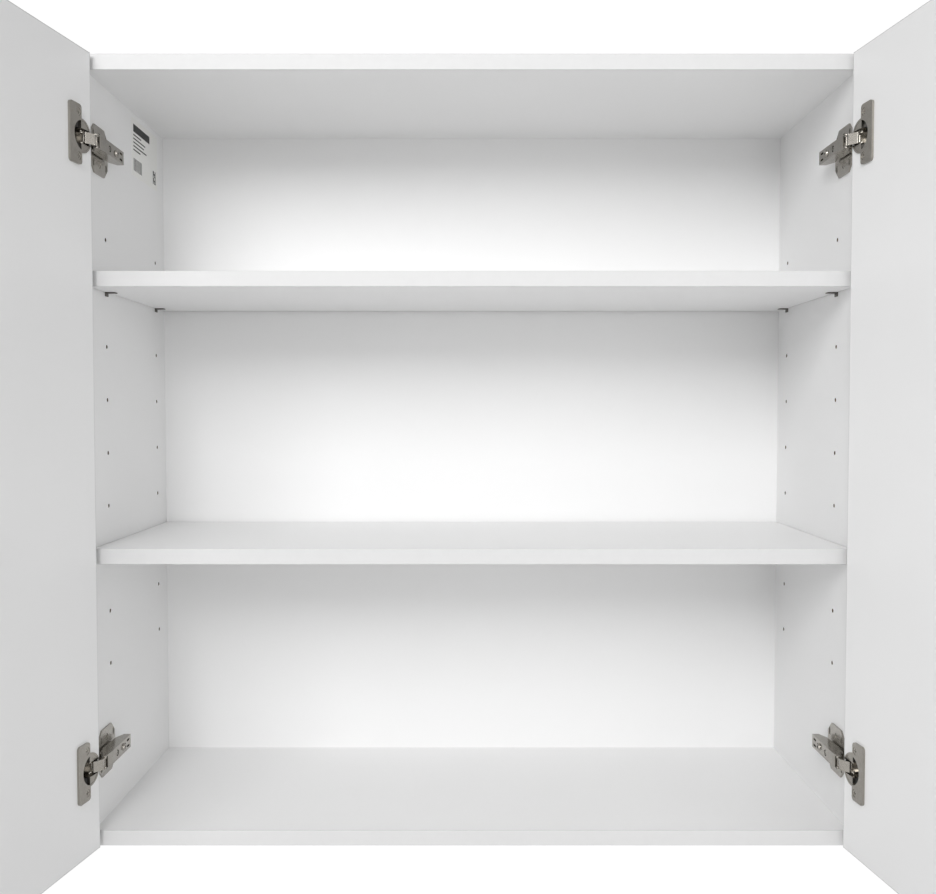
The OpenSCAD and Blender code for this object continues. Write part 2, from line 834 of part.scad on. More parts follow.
module hinge_cup() {
    inner_r = cup_d / 2 - cup_wall;
    color(nickel)
        on_closed_door()
            difference() {
                union() {
                    difference() {
                        union() {
                            translate([cup_centre_u, 0, 0]) cylinder(d = cup_d, h = cup_depth);
                            translate([cup_centre_u, 0, -cup_rim_t])
                                cylinder(d = cup_flange_d, h = cup_rim_t);
                            translate([flange_near_u, -flange_l / 2, -flange_t])
                                linear_extrude(flange_t) rounded_rect_2d(
                                    [flange_far_u - flange_near_u, flange_l], flange_corner_r
                                );
                        }
                        translate([cup_centre_u, 0, -flange_t - 1])
                            cylinder(r = inner_r, h = flange_t + 1 + cup_depth - cup_floor);
                    }
                    for (s = [0, 1])
                        mirror([0, s, 0]) intersection() {
                            translate([cup_centre_u, 0, 0.2 - cup_rim_t])
                                cylinder(r = inner_r + 0.2, h = cup_depth + cup_rim_t - 0.4);
                            translate([0, cup_boss_z, -cup_rim_t])
                                cube([cup_boss_u, cup_d, cup_depth + cup_rim_t]);
                        }
                    // studs that the open forks of the outer link bear on
                    for (s = [-1, 1])
                        translate([cup_stud[0], 0, cup_stud[1]]) rotate([90 * s, 0, 0])
                            translate([0, 0, cup_stud_z])
                                cylinder(d = pivot_pin_d, h = cup_boss_z - cup_stud_z + 0.5);
                }
                translate([cup_centre_u - cup_flange_d, -cup_notch_w / 2, -flange_t - 1])
                    cube([cup_flange_d, cup_notch_w, flange_t + 1]);
                cup_pins();
                for (s = [-1, 1])
                    translate([cup_screw_u, s * cup_screw_pitch / 2, -flange_t]) {
                        translate([0, 0, -1]) cylinder(d = cup_screw_d, h = flange_t + 2);
                        translate([0, 0, -1]) cylinder(d = cup_screw_head_d + 1.2, h = head_recess + 1);
                        translate([0, 0, head_recess])
                            cylinder(d1 = cup_screw_head_d, d2 = cup_screw_d, h = cup_head_h);
                    }
            }
}

module cup_pins() {
    half = cup_boss_z + 1;
    translate([cup_inner_pin[0], -half, cup_inner_pin[1]]) rotate([-90, 0, 0])
        cylinder(d = pivot_pin_d, h = 2 * half);
}

module cup_screws() {
    on_closed_door()
        for (s = [-1, 1])
            translate([cup_screw_u, s * cup_screw_pitch / 2, head_recess - flange_t]) mirror([0, 0, 1])
                countersunk_screw(cup_screw_head_d, cup_screw_d, cup_screw_l - head_recess, cup_head_h);
}

// A damper block on each side of the links, shaped to the cup's wall
module cup_dampers() {
    half = cup_boss_z + 0.4;
    inner_r = cup_d / 2 - cup_wall;
    on_closed_door()
        for (s = [0, 1])
            mirror([0, s, 0])
                translate([0, 0, 2]) intersection() {
                    translate([cup_centre_u, 0, 0]) cylinder(r = inner_r, h = cup_depth - cup_floor - 2);
                    translate([cup_boss_u + 0.4, half, 0]) cube([16, cup_d, cup_depth]);
                }
}

module door_bumpers() {
    on_closed_door()
        for (z = [bottom_z + bumper_inset, top_z - bumper_inset])
            translate([door_w - bumper_inset, z, -door_gap + 0.4])
                cylinder(d = bumper_d, h = door_gap - 0.4);
}

// ---- Pieces by side --------------------------------------------------------
module left_door() { color(white_board) at_door(-1) door_leaf(); }
module right_door() { color(white_board) at_door(1) door_leaf(); }
module left_door_edge_bands() { color(white_edge) at_door(-1) door_bands(); }
module right_door_edge_bands() { color(white_edge) at_door(1) door_bands(); }

module left_upper_hinge_plate() { at_upper_hinge(-1) hinge_plate(); }
module left_lower_hinge_plate() { at_lower_hinge(-1) hinge_plate(); }
module right_upper_hinge_plate() { at_upper_hinge(1) hinge_plate(); }
module right_lower_hinge_plate() { at_lower_hinge(1) hinge_plate(); }

module left_upper_hinge_arm() { at_upper_hinge(-1) hinge_arm(); }
module left_lower_hinge_arm() { at_lower_hinge(-1) hinge_arm(); }
module right_upper_hinge_arm() { at_upper_hinge(1) hinge_arm(); }
module right_lower_hinge_arm() { at_lower_hinge(1) hinge_arm(); }

module turned_inner_link(side) { link_turned(side, inner_pivot, inner_link_share) inner_link(); }
module turned_outer_link(side) { link_turned(side, outer_pivot, outer_link_share) outer_link(); }

module left_upper_inner_link() { at_upper_hinge(-1) turned_inner_link(-1); }
module left_lower_inner_link() { at_lower_hinge(-1) turned_inner_link(-1); }
module right_upper_inner_link() { at_upper_hinge(1) turned_inner_link(1); }
module right_lower_inner_link() { at_lower_hinge(1) turned_inner_link(1); }

module left_upper_outer_link() { at_upper_hinge(-1) turned_outer_link(-1); }
module left_lower_outer_link() { at_lower_hinge(-1) turned_outer_link(-1); }
module right_upper_outer_link() { at_upper_hinge(1) turned_outer_link(1); }
module right_lower_outer_link() { at_lower_hinge(1) turned_outer_link(1); }

module left_upper_hinge_cup() { at_upper_hinge(-1) door_opened(-1) hinge_cup(); }
module left_lower_hinge_cup() { at_lower_hinge(-1) door_opened(-1) hinge_cup(); }
module right_upper_hinge_cup() { at_upper_hinge(1) door_opened(1) hinge_cup(); }
module right_lower_hinge_cup() { at_lower_hinge(1) door_opened(1) hinge_cup(); }

// Both cups of one door
module at_cups(side) {
    at_upper_hinge(side) door_opened(side) children();
    at_lower_hinge(side) door_opened(side) children();
}

module left_cup_pins() { color(nickel) at_cups(-1) on_closed_door() cup_pins(); }
module right_cup_pins() { color(nickel) at_cups(1) on_closed_door() cup_pins(); }
module left_cup_screws() { color(nickel) at_cups(-1) cup_screws(); }
module right_cup_screws() { color(nickel) at_cups(1) cup_screws(); }
module left_cup_dampers() { color(black) at_cups(-1) cup_dampers(); }
module right_cup_dampers() { color(black) at_cups(1) cup_dampers(); }
module left_door_bumpers() { color([0.9, 0.9, 0.9]) at_door(-1) door_bumpers(); }
module right_door_bumpers() { color([0.9, 0.9, 0.9]) at_door(1) door_bumpers(); }

left_side_panel();
right_side_panel();
top_panel();
bottom_panel();
back_panel();
upper_hanging_rail();
lower_hanging_rail();
left_side_edge_band();
right_side_edge_band();
top_edge_band();
bottom_edge_band();
carcass_dowels();
cam_locks();
cam_bolts();
hanging_plates();
hanging_plate_screws();
upper_shelf();
lower_shelf();
upper_shelf_edge_band();
lower_shelf_edge_band();
upper_shelf_supports();
lower_shelf_supports();
blank_label();
left_upper_hinge_plate();
left_lower_hinge_plate();
right_upper_hinge_plate();
right_lower_hinge_plate();
hinge_plate_screws();
hinge_fixing_screws();
hinge_side_screws();
left_upper_hinge_arm();
left_lower_hinge_arm();
right_upper_hinge_arm();
right_lower_hinge_arm();
hinge_arm_pins();
left_upper_inner_link();
left_lower_inner_link();
right_upper_inner_link();
right_lower_inner_link();
left_upper_outer_link();
left_lower_outer_link();
right_upper_outer_link();
right_lower_outer_link();
left_door();
right_door();
left_door_edge_bands();
right_door_edge_bands();
left_upper_hinge_cup();
left_lower_hinge_cup();
right_upper_hinge_cup();
right_lower_hinge_cup();
left_cup_pins();
right_cup_pins();
left_cup_screws();
right_cup_screws();
left_cup_dampers();
right_cup_dampers();
left_door_bumpers();
right_door_bumpers();
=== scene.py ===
"""Finishes, fine detail, light and camera for a two-door hanging wall cabinet."""

import json
import logging
import math
from dataclasses import dataclass, field
from enum import Enum
from typing import Any

import bmesh
import bpy
from mathutils import Matrix, Vector

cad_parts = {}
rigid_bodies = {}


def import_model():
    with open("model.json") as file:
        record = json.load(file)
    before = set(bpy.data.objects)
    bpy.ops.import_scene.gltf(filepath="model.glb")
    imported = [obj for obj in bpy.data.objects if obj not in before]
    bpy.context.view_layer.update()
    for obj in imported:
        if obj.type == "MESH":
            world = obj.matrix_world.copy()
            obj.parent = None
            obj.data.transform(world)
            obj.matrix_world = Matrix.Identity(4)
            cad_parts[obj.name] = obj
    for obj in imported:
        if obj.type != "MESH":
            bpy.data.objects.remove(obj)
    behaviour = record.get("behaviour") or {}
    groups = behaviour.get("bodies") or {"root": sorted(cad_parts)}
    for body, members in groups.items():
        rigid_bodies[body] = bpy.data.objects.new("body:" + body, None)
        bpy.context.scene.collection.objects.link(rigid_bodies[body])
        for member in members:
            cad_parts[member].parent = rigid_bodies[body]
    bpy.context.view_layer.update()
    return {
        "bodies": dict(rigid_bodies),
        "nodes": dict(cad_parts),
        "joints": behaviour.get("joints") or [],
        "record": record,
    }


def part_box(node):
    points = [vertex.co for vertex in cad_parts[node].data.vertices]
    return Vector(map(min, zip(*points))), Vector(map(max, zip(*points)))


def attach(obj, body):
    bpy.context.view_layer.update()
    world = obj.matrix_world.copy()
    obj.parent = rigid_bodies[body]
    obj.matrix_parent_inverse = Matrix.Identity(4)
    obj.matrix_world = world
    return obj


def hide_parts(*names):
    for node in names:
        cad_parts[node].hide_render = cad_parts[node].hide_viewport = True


log = logging.getLogger("wall_cabinet")

MM = 0.001
WELD = 0.002 * MM
FLAT_DEG = 1.0


# ---------------------------------------------------------------- node helpers
def linear_rgba(hex_colour: str) -> tuple[float, float, float, float]:
    """Turns an sRGB hex colour into linear values.

    Args:
        hex_colour: the colour as six hex digits, such as "E8E6E1".

    Returns:
        Linear red, green, blue and an alpha of 1.
    """
    channels = []
    for start in (0, 2, 4):
        value = int(hex_colour[start : start + 2], 16) / 255
        channels.append(value / 12.92 if value <= 0.04045 else ((value + 0.055) / 1.055) ** 2.4)
    return (*channels, 1.0)


def add_node(
    tree: bpy.types.NodeTree,
    kind: str,
    inputs: dict[str | int, Any] | None = None,
    **settings: Any,
) -> bpy.types.Node:
    """Adds one shader node, with its settings and what feeds it.

    Args:
        tree: the node tree that gets the node.
        kind: the node's type name, such as "ShaderNodeTexNoise".
        inputs: a value or a source socket for each named or numbered input.
        settings: the node's own properties.

    Returns:
        The new node.
    """
    node = tree.nodes.new(kind)
    for name, value in settings.items():
        setattr(node, name, value)
    for key, value in (inputs or {}).items():
        if isinstance(value, bpy.types.NodeSocket):
            tree.links.new(value, node.inputs[key])
        else:
            node.inputs[key].default_value = value
    return node


def set_ramp(
    node: bpy.types.Node, stops: list[tuple[float, tuple[float, float, float, float]]]
) -> None:
    """Gives a colour ramp its stops.

    Args:
        node: the ramp node.
        stops: a position and a linear colour for each stop, from left to right.
    """
    ramp = node.color_ramp
    while len(ramp.elements) < len(stops):
        ramp.elements.new(1.0)
    for element, (position, colour) in zip(ramp.elements, stops):
        element.position = position
        element.color = colour


# -------------------------------------------------------------------- finishes
@dataclass(frozen=True)
class Finish:
    """What every finish has: a name for the real material and how it was made."""

    name: str

    def start(
        self,
    ) -> tuple[bpy.types.Material, bpy.types.NodeTree, bpy.types.Node, bpy.types.NodeSocket]:
        """Makes an empty material with its shader and object coordinates.

        Returns:
            The material, its node tree, its Principled shader and the coordinate socket.
        """
        material = bpy.data.materials.new(self.name)
        material.use_nodes = True
        tree = material.node_tree
        shader = tree.nodes["Principled BSDF"]
        coordinates = add_node(tree, "ShaderNodeTexCoord")
        return material, tree, shader, coordinates.outputs["Object"]


@dataclass(frozen=True)
class MelamineBoard(Finish):
    """Particle board faced with white melamine paper, pressed against a satin plate.

    The press plate leaves a pearl texture of 0.6 mm pits, which softens every
    reflection; it is drawn at 2.5 mm, the finest that still shows.
    """

    name: str = "melamine_faced_board_white_satin"
    light: str = "EFEFEF"
    shade: str = "ECECEC"
    pearl_mm: float = 2.5
    sheet_mm: float = 260.0

    def build(self) -> bpy.types.Material:
        """Makes the material.

        Returns:
            The finished material.
        """
        material, tree, shader, place = self.start()
        pearl = add_node(
            tree, "ShaderNodeTexNoise", {"Vector": place, "Scale": 1 / (self.pearl_mm * MM), "Detail": 3.0}
        )
        cloud = add_node(
            tree, "ShaderNodeTexNoise", {"Vector": place, "Scale": 1 / (self.sheet_mm * MM), "Detail": 2.0}
        )
        tint = add_node(
            tree,
            "ShaderNodeMix",
            {"Factor": cloud.outputs["Fac"], "A": linear_rgba(self.shade), "B": linear_rgba(self.light)},
            data_type="RGBA",
        )
        gloss = add_node(
            tree,
            "ShaderNodeMapRange",
            {"Value": pearl.outputs["Fac"], "From Min": 0.3, "From Max": 0.7, "To Min": 0.38, "To Max": 0.5},
        )
        bump = add_node(
            tree,
            "ShaderNodeBump",
            {"Height": pearl.outputs["Fac"], "Strength": 0.08, "Distance": 0.05 * MM},
        )
        tree.links.new(tint.outputs["Result"], shader.inputs["Base Color"])
        tree.links.new(gloss.outputs["Result"], shader.inputs["Roughness"])
        tree.links.new(bump.outputs["Normal"], shader.inputs["Normal"])
        shader.inputs["IOR"].default_value = 1.5
        return material


@dataclass(frozen=True)
class EdgeBand(Finish):
    """Extruded ABS edge band, trimmed and buffed after gluing.

    Buffing leaves it silky and finely streaked along its length; the trimmed
    corners keep small chatter marks of the cutter. Its tones are painted darker than the board's white:
    painted shade on the front edges, which face the key light.
    """

    name: str = "abs_edge_band_white_buffed_painted_shade"
    # Painted shade: both tones sit well below the white of the board, to hold down the front edges that face
    # the key light.
    light: str = "D2D2D2"
    shade: str = "CECECE"
    streak_mm: float = 1.2
    chatter_mm: float = 6.0

    def build(self) -> bpy.types.Material:
        """Makes the material.

        Returns:
            The finished material.
        """
        material, tree, shader, place = self.start()
        stretch = add_node(
            tree, "ShaderNodeMapping", {"Vector": place, "Scale": (0.12, 1.0, 0.12)}
        )
        streak = add_node(
            tree,
            "ShaderNodeTexNoise",
            {"Vector": stretch.outputs["Vector"], "Scale": 1 / (self.streak_mm * MM), "Detail": 2.0},
        )
        chatter = add_node(
            tree, "ShaderNodeTexNoise", {"Vector": place, "Scale": 1 / (self.chatter_mm * MM), "Detail": 4.0}
        )
        tint = add_node(
            tree,
            "ShaderNodeMix",
            {"Factor": streak.outputs["Fac"], "A": linear_rgba(self.shade), "B": linear_rgba(self.light)},
            data_type="RGBA",
        )
        gloss = add_node(
            tree,
            "ShaderNodeMapRange",
            {"Value": chatter.outputs["Fac"], "From Min": 0.3, "From Max": 0.7, "To Min": 0.5, "To Max": 0.6},
        )
        bump = add_node(
            tree, "ShaderNodeBump", {"Height": streak.outputs["Fac"], "Strength": 0.05, "Distance": 0.04 * MM}
        )
        tree.links.new(tint.outputs["Result"], shader.inputs["Base Color"])
        tree.links.new(gloss.outputs["Result"], shader.inputs["Roughness"])
        tree.links.new(bump.outputs["Normal"], shader.inputs["Normal"])
        shader.inputs["IOR"].default_value = 1.53
        return material


@dataclass(frozen=True)
class ParticleBoard(Finish):
    """Raw particle board: pressed wood chips of 2 to 6 mm in a fine, darker dust."""

    name: str = "particle_board_raw"
    pale_chip: str = "D2B68C"
    dark_chip: str = "A98A5F"
    dust: str = "8C7048"
    chip_mm: float = 4.0
    dust_mm: float = 1.0

    def build(self) -> bpy.types.Material:
        """Makes the material.

        Returns:
            The finished material.
        """
        material, tree, shader, place = self.start()
        chips = add_node(
            tree,
            "ShaderNodeTexVoronoi",
            {"Vector": place, "Scale": 1 / (self.chip_mm * MM), "Randomness": 1.0},
        )
        grey = add_node(tree, "ShaderNodeSeparateColor", {"Color": chips.outputs["Color"]})
        ramp = add_node(tree, "ShaderNodeValToRGB", {"Fac": grey.outputs["Red"]})
        set_ramp(
            ramp,
            [
                (0.0, linear_rgba(self.dust)),
                (0.35, linear_rgba(self.dark_chip)),
                (1.0, linear_rgba(self.pale_chip)),
            ],
        )
        dust = add_node(
            tree, "ShaderNodeTexNoise", {"Vector": place, "Scale": 1 / (self.dust_mm * MM), "Detail": 4.0}
        )
        mixed = add_node(
            tree,
            "ShaderNodeMix",
            {"Factor": dust.outputs["Fac"], "A": ramp.outputs["Color"], "B": linear_rgba(self.dark_chip)},
            data_type="RGBA",
        )
        bump = add_node(
            tree,
            "ShaderNodeBump",
            {"Height": chips.outputs["Distance"], "Strength": 0.5, "Distance": 0.2 * MM},
        )
        tree.links.new(mixed.outputs["Result"], shader.inputs["Base Color"])
        tree.links.new(bump.outputs["Normal"], shader.inputs["Normal"])
        shader.inputs["Roughness"].default_value = 0.85
        return material


@dataclass(frozen=True)
class BeechDowel(Finish):
    """Turned beech: straight grain along the dowel with short dark rays."""

    name: str = "beech_turned"
    light: str = "DDBF92"
    ray: str = "B98F5E"
    grain_mm: float = 0.7

    def build(self) -> bpy.types.Material:
        """Makes the material.

        Returns:
            The finished material.
        """
        material, tree, shader, place = self.start()
        along = add_node(tree, "ShaderNodeMapping", {"Vector": place, "Scale": (0.08, 1.0, 1.0)})
        grain = add_node(
            tree,
            "ShaderNodeTexNoise",
            {"Vector": along.outputs["Vector"], "Scale": 1 / (self.grain_mm * MM), "Detail": 3.0},
        )
        tint = add_node(
            tree,
            "ShaderNodeMix",
            {"Factor": grain.outputs["Fac"], "A": linear_rgba(self.ray), "B": linear_rgba(self.light)},
            data_type="RGBA",
        )
        tree.links.new(tint.outputs["Result"], shader.inputs["Base Color"])
        shader.inputs["Roughness"].default_value = 0.6
        return material


@dataclass(frozen=True)
class PlatedSteel(Finish):
    """Pressed steel with a galvanic plating.

    The plating copies the sheet's rolling lines, which the eye sees as a soft
    streak in each reflection, and it is a little duller where parts rub.
    """

    name: str = "pressed_steel_nickel_plated"
    bright: str = "A9A59E"
    dull: str = "97938C"
    sharp: float = 0.2
    soft: float = 0.27
    rolling_mm: float = 0.5
    cloud_mm: float = 5.0

    def build(self) -> bpy.types.Material:
        """Makes the material.

        Returns:
            The finished material.
        """
        material, tree, shader, place = self.start()
        along = add_node(tree, "ShaderNodeMapping", {"Vector": place, "Scale": (1.0, 0.1, 1.0)})
        rolling = add_node(
            tree,
            "ShaderNodeTexNoise",
            {"Vector": along.outputs["Vector"], "Scale": 1 / (self.rolling_mm * MM), "Detail": 2.0},
        )
        cloud = add_node(
            tree, "ShaderNodeTexNoise", {"Vector": place, "Scale": 1 / (self.cloud_mm * MM), "Detail": 3.0}
        )
        tint = add_node(
            tree,
            "ShaderNodeMix",
            {"Factor": cloud.outputs["Fac"], "A": linear_rgba(self.dull), "B": linear_rgba(self.bright)},
            data_type="RGBA",
        )
        gloss = add_node(
            tree,
            "ShaderNodeMapRange",
            {
                "Value": cloud.outputs["Fac"],
                "From Min": 0.3,
                "From Max": 0.7,
                "To Min": self.soft,
                "To Max": self.sharp,
            },
        )
        bump = add_node(
            tree,
            "ShaderNodeBump",
            {"Height": rolling.outputs["Fac"], "Strength": 0.04, "Distance": 0.03 * MM},
        )
        tree.links.new(tint.outputs["Result"], shader.inputs["Base Color"])
        tree.links.new(gloss.outputs["Result"], shader.inputs["Roughness"])
        tree.links.new(bump.outputs["Normal"], shader.inputs["Normal"])
        shader.inputs["Metallic"].default_value = 1.0
        return material


@dataclass(frozen=True)
class MouldedPlastic(Finish):
    """Injection-moulded plastic with the fine spark texture of its mould."""

    name: str = "pom_moulded_black"
    colour: str = "141414"
    worn: str = "232323"
    roughness: float = 0.45
    grain_mm: float = 0.8
    see_through: float = 0.0

    def build(self) -> bpy.types.Material:
        """Makes the material.

        Returns:
            The finished material.
        """
        material, tree, shader, place = self.start()
        grain = add_node(
            tree, "ShaderNodeTexNoise", {"Vector": place, "Scale": 1 / (self.grain_mm * MM), "Detail": 3.0}
        )
        tint = add_node(
            tree,
            "ShaderNodeMix",
            {"Factor": grain.outputs["Fac"], "A": linear_rgba(self.colour), "B": linear_rgba(self.worn)},
            data_type="RGBA",
        )
        bump = add_node(
            tree, "ShaderNodeBump", {"Height": grain.outputs["Fac"], "Strength": 0.15, "Distance": 0.03 * MM}
        )
        tree.links.new(tint.outputs["Result"], shader.inputs["Base Color"])
        tree.links.new(bump.outputs["Normal"], shader.inputs["Normal"])
        shader.inputs["Roughness"].default_value = self.roughness
        shader.inputs["Transmission Weight"].default_value = self.see_through
        return material


@dataclass(frozen=True)
class LabelPaper(Finish):
    """Calendered label paper, matt white, with short fibres of about 1 mm."""

    name: str = "label_paper_matt"
    light: str = "F4F4F2"
    fibre: str = "E6E6E2"
    fibre_mm: float = 1.0

    def build(self) -> bpy.types.Material:
        """Makes the material.

        Returns:
            The finished material.
        """
        material, tree, shader, place = self.start()
        fibres = add_node(
            tree, "ShaderNodeTexNoise", {"Vector": place, "Scale": 1 / (self.fibre_mm * MM), "Detail": 5.0}
        )
        tint = add_node(
            tree,
            "ShaderNodeMix",
            {"Factor": fibres.outputs["Fac"], "A": linear_rgba(self.fibre), "B": linear_rgba(self.light)},
            data_type="RGBA",
        )
        tree.links.new(tint.outputs["Result"], shader.inputs["Base Color"])
        shader.inputs["Roughness"].default_value = 0.8
        return material


class Slot(Enum):
    """The record's material slots, each with its finish."""

    BOARD = ("white_melamine_board", MelamineBoard())
    BAND = ("white_edge_band", EdgeBand())
    RAW_BOARD = ("raw_particle_board", ParticleBoard())
    DOWEL = ("beech_dowel", BeechDowel())
    ZINC = (
        "zinc_plated_steel",
        PlatedSteel("steel_zinc_plated_clear", bright="D4D6D8", dull="A9ABAE", sharp=0.26, soft=0.42),
    )
    NICKEL = ("nickel_plated_steel", PlatedSteel())
    DARK_NICKEL = (
        "dark_nickel_steel",
        PlatedSteel("pressed_steel_dark_nickel", bright="6E6A64", dull="4A4742", sharp=0.3, soft=0.45),
    )
    PAPER = ("label_paper", LabelPaper())
    BLACK = ("black_damper_plastic", MouldedPlastic())
    CLEAR = (
        "clear_bumper",
        MouldedPlastic("polyurethane_cast_clear", "EDEFEF", "F6F7F7", 0.25, 2.0, 0.35),
    )

    @property
    def slot(self) -> str:
        """The slot's name in the record."""
        return self.value[0]

    @property
    def finish(self) -> Finish:
        """The slot's finish."""
        return self.value[1]


class Workshop:
    """Keeps the loaded cabinet and dresses its pieces, each finish made once."""

    def __init__(self, frame: dict[str, Any]) -> None:
        """Takes the loaded frame."""
        self.nodes: dict[str, bpy.types.Object] = frame["nodes"]
        self.slot_of: dict[str, str] = {
            part["node"]: part["material_slot"] for part in frame["record"]["subparts"]
        }
        self.body_of: dict[str, str] = {
            node: body for body, names in frame["record"]["behaviour"]["bodies"].items() for node in names
        }
        self.materials: dict[str, bpy.types.Material] = {
            choice.slot: choice.finish.build() for choice in Slot
        }

    def dress(self, node: str) -> None:
        """Gives a CAD node the material of its slot."""
        mesh = self.nodes[node].data
        mesh.materials.clear()
        mesh.materials.append(self.materials[self.slot_of[node]])
        log.info("dressed %s as %s", node, self.slot_of[node])

    def finish_piece(
        self, mesh_source: bmesh.types.BMesh, name: str, body: str, slot: str, smooth_deg: float = 30.0
    ) -> bpy.types.Object:
        """Turns a bmesh into a piece that rides on a body.

        Args:
            mesh_source: the shape, in the cabinet's frame, in metres; it is freed.
            name: the piece's name.
            body: the body that it moves with.
            slot: the record's material slot.
            smooth_deg: faces that meet at less than this angle look smooth.

        Returns:
            The new piece.
        """
        mesh = bpy.data.meshes.new(name)
        mesh_source.to_mesh(mesh)
        mesh_source.free()
        mesh.shade_smooth()
        mesh.set_sharp_from_angle(angle=math.radians(smooth_deg))
        mesh.materials.append(self.materials[slot])
        piece = bpy.data.objects.new(name, mesh)
        bpy.context.scene.collection.objects.link(piece)
        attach(piece, body)
        log.info("made %s with %d faces", name, len(mesh.polygons))
        return piece

    def soften(
        self, node: str, radius: float, segments: int = 2, min_angle_deg: float = 35.0
    ) -> bpy.types.Object:
        """Replaces a node by a copy of itself with rounded edges.

        Args:
            node: the CAD node.
            radius: the edge radius in metres.
            segments: the number of facets across each rounded edge.
            min_angle_deg: only edges sharper than this are rounded.

        Returns:
            The rounded piece, which stands for the node.
        """
        shape = bmesh.new()
        shape.from_mesh(self.nodes[node].data)
        bmesh.ops.remove_doubles(shape, verts=shape.verts, dist=WELD)
        bmesh.ops.dissolve_limit(
            shape,
            angle_limit=math.radians(FLAT_DEG),
            use_dissolve_boundaries=False,
            verts=shape.verts,
            edges=shape.edges,
            delimit=set(),
        )
        limit = math.radians(min_angle_deg)
        sharp = [
            edge
            for edge in shape.edges
            if len(edge.link_faces) == 2 and edge.calc_face_angle(0.0) > limit
        ]
        bmesh.ops.bevel(
            shape,
            geom=sharp,
            offset=radius,
            offset_type="OFFSET",
            segments=segments,
            profile=0.5,
            affect="EDGES",
            clamp_overlap=True,
            material=-1,
        )
        piece = self.finish_piece(shape, f"{node}_rounded", self.body_of[node], self.slot_of[node])
        flatten = piece.modifiers.new("flat_faces_stay_flat", "WEIGHTED_NORMAL")
        flatten.keep_sharp = True
        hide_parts(node)
        return piece


# ------------------------------------------------------------------ assemblies
@dataclass
class Carcass:
    """The box of the cabinet with its back, rails, joinery and hanging plates."""

    workshop: Workshop
    boards: tuple[str, ...] = (
        "left_side_panel",
        "right_side_panel",
        "top_panel",
        "bottom_panel",
        "back_panel",
        "upper_hanging_rail",
        "lower_hanging_rail",
    )
    bands: tuple[str, ...] = (
        "left_side_edge_band",
        "right_side_edge_band",
        "top_edge_band",
        "bottom_edge_band",
    )
    joinery: tuple[str, ...] = ("carcass_dowels", "cam_locks", "cam_bolts", "hanging_plate_screws")
    plate_edge: float = 0.3 * MM

    def build(self) -> None:
        """Dresses the boards and rounds the hanging plates."""
        for node in (*self.boards, *self.bands, *self.joinery):
            self.workshop.dress(node)
        self.workshop.soften("hanging_plates", self.plate_edge)


@dataclass
class Shelves:
    """The two shelves, their edge bands and the pressed steel supports."""

    workshop: Workshop
    support_edge: float = 0.25 * MM

    def build(self) -> None:
        """Dresses the shelves and rounds their supports."""
        for level in ("upper", "lower"):
            self.workshop.dress(f"{level}_shelf")
            self.workshop.dress(f"{level}_shelf_edge_band")
            self.workshop.soften(f"{level}_shelf_supports", self.support_edge)


@dataclass
class SupportHoleWalls:
    """The drilled walls of the free shelf support holes: raw particle board, painted much darker than its own
    tone as painted shade in the bores.

    Each wall is a thin cup that lines its bore, from just under the melamine face.
    """

    workshop: Workshop
    bore_d: float = 5.0 * MM
    bore_depth: float = 12.0 * MM
    play: float = 0.02 * MM
    wall_t: float = 0.25 * MM
    face_drop: float = 0.15 * MM
    segments: int = 28
    front_column: float = 60 * MM
    rear_column: float = 55 * MM
    first_drop: float = 200 * MM
    pitch: float = 64 * MM
    rows: int = 9
    used_rows: tuple[int, ...] = (1, 6)
    # Raw board tones painted far darker than raw board: painted shade inside the narrow bores.
    wall: ParticleBoard = field(
        default_factory=lambda: ParticleBoard(
            "particle_board_bore_painted_shade", pale_chip="7E6A4E", dark_chip="5C4A34", dust="3B2F21"
        )
    )

    def build(self) -> None:
        """Lines the free holes of both side panels."""
        finish = self.wall.build()
        for side, sign in (("left", -1), ("right", 1)):
            low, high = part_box(f"{side}_side_panel")
            face_x = high.x if side == "left" else low.x
            front_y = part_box(f"{side}_side_edge_band")[0].y
            shape = bmesh.new()
            for y in (front_y + self.front_column, high.y - self.rear_column):
                for row in range(self.rows):
                    if row not in self.used_rows:
                        mouth = Vector((face_x, y, high.z - self.first_drop - row * self.pitch))
                        self.add_cup(shape, mouth, sign)
            bmesh.ops.recalc_face_normals(shape, faces=shape.faces)
            piece = self.workshop.finish_piece(
                shape, f"{side}_support_hole_walls", "carcass", Slot.RAW_BOARD.slot
            )
            piece.data.materials.clear()
            piece.data.materials.append(finish)

    def add_cup(self, shape: bmesh.types.BMesh, mouth: Vector, sign: int) -> None:
        """Adds the lining of one hole.

        Args:
            shape: the linings so far.
            mouth: the centre of the hole at the panel's face.
            sign: the direction in which the hole runs, along X.
        """
        radius = self.bore_d / 2 - self.play
        length = self.bore_depth - self.face_drop - self.play
        made = bmesh.ops.create_cone(
            shape,
            cap_ends=True,
            segments=self.segments,
            radius1=radius,
            radius2=radius,
            depth=length,
            matrix=Matrix.Translation(mouth + Vector((sign * (self.face_drop + length / 2), 0, 0)))
            @ Matrix.Rotation(math.radians(90 * sign), 4, "Y"),
        )
        caps = {face for vert in made["verts"] for face in vert.link_faces if len(face.verts) > 4}
        rim = min(caps, key=lambda face: sign * face.calc_center_median().x)
        bmesh.ops.inset_region(shape, faces=[rim], thickness=self.wall_t, use_even_offset=True)
        inner = bmesh.ops.extrude_discrete_faces(shape, faces=[rim])["faces"]
        verts = list({vert for face in inner for vert in face.verts})
        bmesh.ops.translate(shape, vec=Vector((sign * (length - self.wall_t), 0, 0)), verts=verts)


